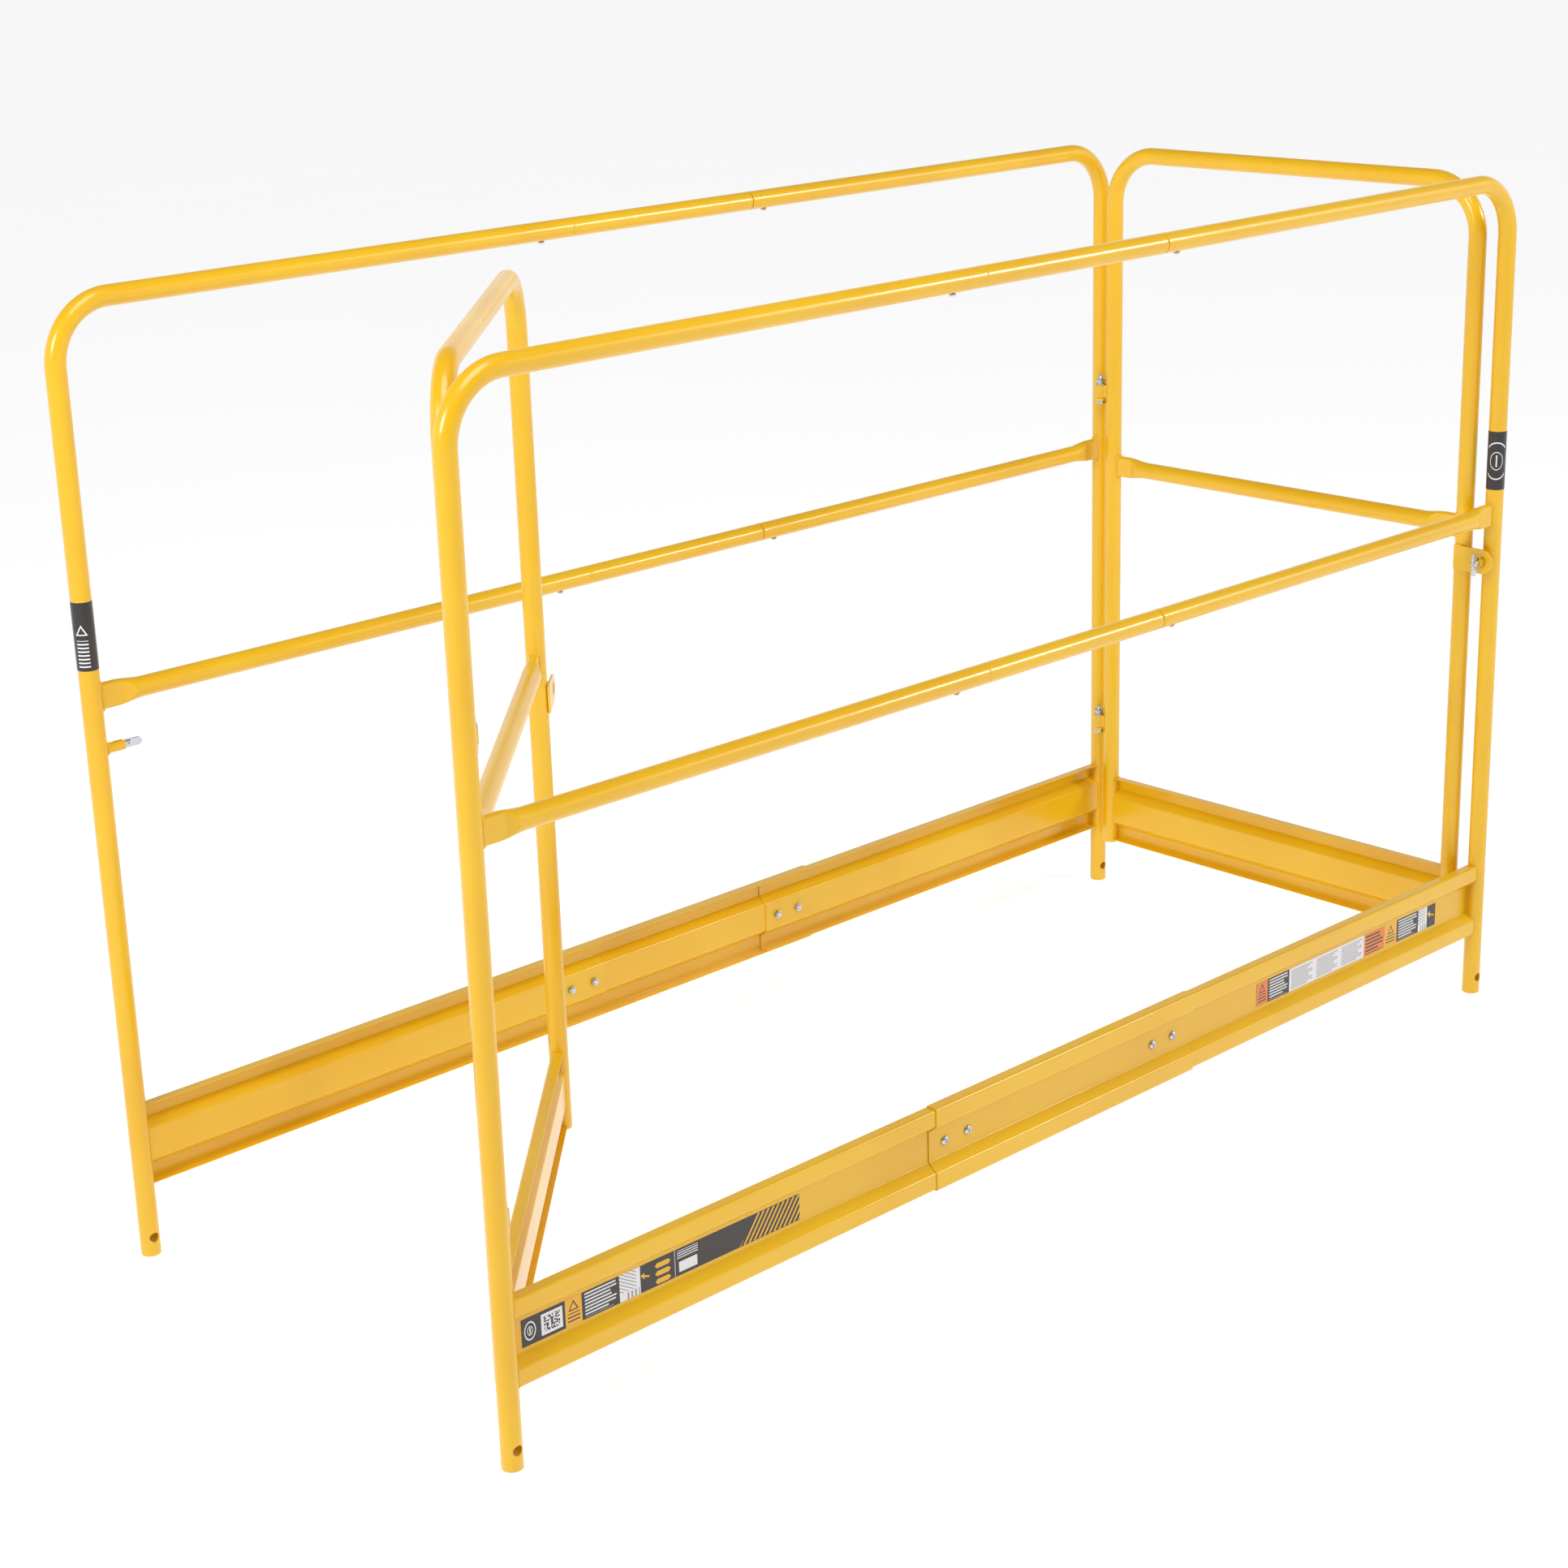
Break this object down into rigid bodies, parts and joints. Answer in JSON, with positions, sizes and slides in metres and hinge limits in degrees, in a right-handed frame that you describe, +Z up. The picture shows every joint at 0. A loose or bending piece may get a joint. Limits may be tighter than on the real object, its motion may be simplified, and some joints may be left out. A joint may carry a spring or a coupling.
{
  "type": "scaffold guardrail kit",
  "caption": "Guardrail and toe board kit for a rolling scaffold: long side rails and swinging end gates with flip locks, in yellow paint.",
  "frame": {"origin": "centre of the rectangle of the four posts, on the plane of their lower ends", "axes": "+X along the side panels, +Y from the front panel to the back panel, +Z up"},
  "size_m": [1.876, 0.7681, 1.2227],
  "materials": {
    "yellow_paint": "glossy powder coat",
    "zinc": "bright zinc plate",
    "label": "gloss film"
  },
  "bodies": {
    "side_panels": {"front_left_end_tube": "yellow_paint", "front_right_end_tube": "yellow_paint", "back_left_end_tube": "yellow_paint", "back_right_end_tube": "yellow_paint", "front_left_mid_rail": "yellow_paint", "front_right_mid_rail": "yellow_paint", "back_left_mid_rail": "yellow_paint", "back_right_mid_rail": "yellow_paint", "front_left_toe_board": "yellow_paint", "front_right_toe_board": "yellow_paint", "back_left_toe_board": "yellow_paint", "back_right_toe_board": "yellow_paint", "front_centre_top_rail": "yellow_paint", "back_centre_top_rail": "yellow_paint", "front_centre_mid_rail": "yellow_paint", "back_centre_mid_rail": "yellow_paint", "front_centre_toe_board": "yellow_paint", "back_centre_toe_board": "yellow_paint", "front_rail_screws": "zinc", "back_rail_screws": "zinc", "front_toe_screws": "zinc", "back_toe_screws": "zinc", "front_toe_nuts": "zinc", "back_toe_nuts": "zinc", "left_hinge_lugs": "yellow_paint", "right_hinge_lugs": "yellow_paint", "left_hinge_bolts": "zinc", "right_hinge_bolts": "zinc", "left_hinge_washers": "zinc", "right_hinge_washers": "zinc", "left_hinge_nuts": "zinc", "right_hinge_nuts": "zinc", "left_lock_stud": "yellow_paint", "right_lock_stud": "yellow_paint", "left_lock_pin": "zinc", "right_lock_pin": "zinc", "left_lock_rivet": "zinc", "right_lock_rivet": "zinc", "front_left_toe_label": "label", "front_right_toe_label": "label", "back_left_post_label": "label", "front_right_post_label": "label"},
    "left_gate": {"left_gate_hoop": "yellow_paint", "left_gate_mid_rail": "yellow_paint", "left_gate_toe_board": "yellow_paint", "left_hinge_sleeves": "yellow_paint", "left_latch_plate": "yellow_paint"},
    "right_gate": {"right_gate_hoop": "yellow_paint", "right_gate_mid_rail": "yellow_paint", "right_gate_toe_board": "yellow_paint", "right_hinge_sleeves": "yellow_paint", "right_latch_plate": "yellow_paint"},
    "left_lock": {"left_flip_tab": "zinc"},
    "right_lock": {"right_flip_tab": "zinc"}
  },
  "joints": [
    {"name": "left_gate_hinge", "type": "hinge", "parent": "side_panels", "child": "left_gate", "pos_m": [-0.903, -0.3495, 0.55], "axis": [0, 0, -1], "range_deg": [-45, 45]},
    {"name": "right_gate_hinge", "type": "hinge", "parent": "side_panels", "child": "right_gate", "pos_m": [0.903, 0.3495, 0.55], "axis": [0, 0, -1], "range_deg": [0, 90]},
    {"name": "left_lock_flip", "type": "hinge", "parent": "side_panels", "child": "left_lock", "pos_m": [-0.8815, 0.3685, 0.672], "axis": [0, 1, 0], "range_deg": [0, 90]},
    {"name": "right_lock_flip", "type": "hinge", "parent": "side_panels", "child": "right_lock", "pos_m": [0.8815, -0.3685, 0.672], "axis": [0, 1, 0], "range_deg": [0, 90]}
  ]
}
